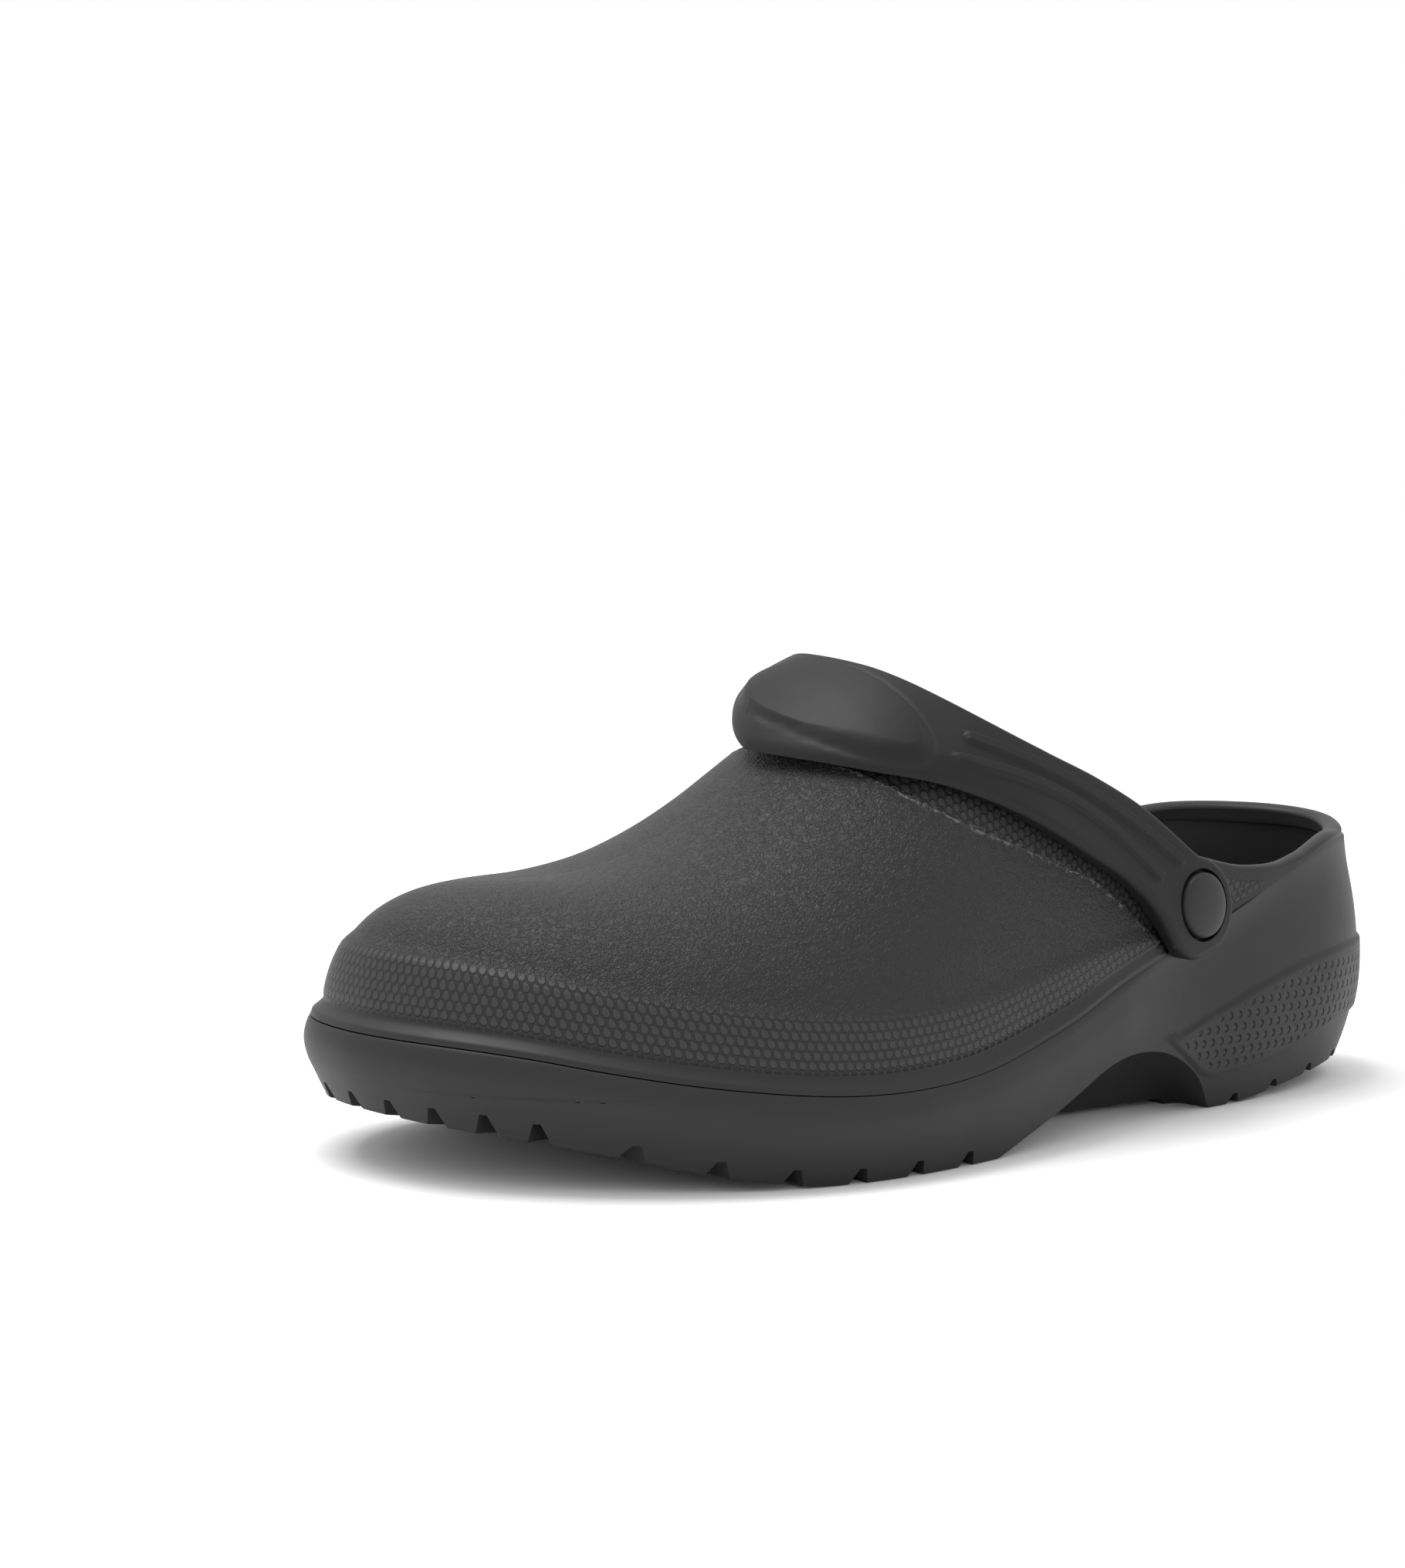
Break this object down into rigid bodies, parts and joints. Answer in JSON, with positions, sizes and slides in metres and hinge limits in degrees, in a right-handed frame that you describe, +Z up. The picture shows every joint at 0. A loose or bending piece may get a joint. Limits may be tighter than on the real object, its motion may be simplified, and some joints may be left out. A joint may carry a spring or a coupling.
{
  "type": "chef clog",
  "caption": "Closed-toe work clog moulded in foam, with a hollow upper on a lugged sole, a footbed and an instep strap on snap rivets. Left shoe.",
  "frame": {"origin": "on the floor under the middle of the shoe's box", "axes": "+X from heel to toe, +Y to the outer (lateral) side of the left shoe, +Z up from the floor"},
  "size_m": [0.288, 0.1196, 0.1075],
  "materials": {
    "sole": "satin moulded foam",
    "upper": "satin moulded foam with a fine leather grain",
    "insole": "matt moulded foam",
    "strap": "satin moulded foam",
    "rivet": "satin plastic"
  },
  "bodies": {
    "root": {"sole": "sole", "upper": "upper", "insole": "insole", "strap": "strap", "rivet_button_lateral": "rivet", "rivet_button_medial": "rivet", "rivet_cap_lateral": "rivet", "rivet_cap_medial": "rivet"}
  },
  "joints": []
}
